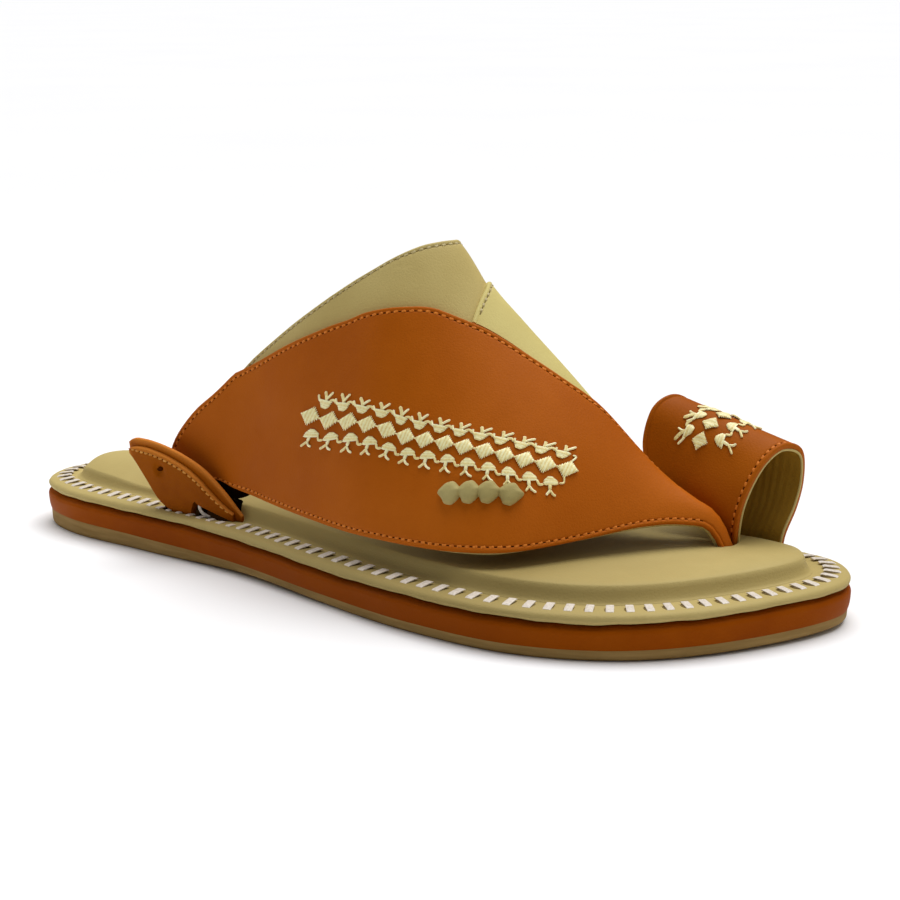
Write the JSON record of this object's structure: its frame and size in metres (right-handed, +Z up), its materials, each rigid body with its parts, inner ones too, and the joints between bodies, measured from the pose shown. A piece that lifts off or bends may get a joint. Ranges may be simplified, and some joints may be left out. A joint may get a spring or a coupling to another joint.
{
  "type": "arabic sandal",
  "caption": "Traditional slip-on leather sandal with a broad padded sole, an arched instep strap under a leaf-shaped vamp, a loop for the big toe and a tab at the lateral side.",
  "frame": {"origin": "on the floor, below the middle of the part's box", "axes": "+X to the toe, +Y to the medial side of the right foot, +Z up from the floor"},
  "size_m": [0.29, 0.109, 0.1047],
  "materials": {
    "tread": "matt tan tread layer with a fine horizontal grain at its edge",
    "sole_edge": "rounded orange-brown leather edge, half matt, darker where it is worn",
    "footbed": "cream leather with a fine grain, half matt, stitched along its edge",
    "insole": "cream leather over a soft pad, half matt",
    "strap": "cream leather with soft creases, half matt",
    "vamp": "chestnut leather with a light sheen and an embroidered band",
    "toe_loop": "chestnut leather with a light sheen, pale along its stitched edges",
    "side_tab": "chestnut leather with a pale stitched edge",
    "lace": "khaki plaited cord, matt"
  },
  "bodies": {
    "root": {"outsole": "tread", "midsole": "sole_edge", "footbed_rim": "footbed", "insole_pad": "insole", "upper": "strap", "vamp": "vamp", "toe_loop": "toe_loop", "side_tab": "side_tab", "woven_lace": "lace"}
  },
  "joints": []
}
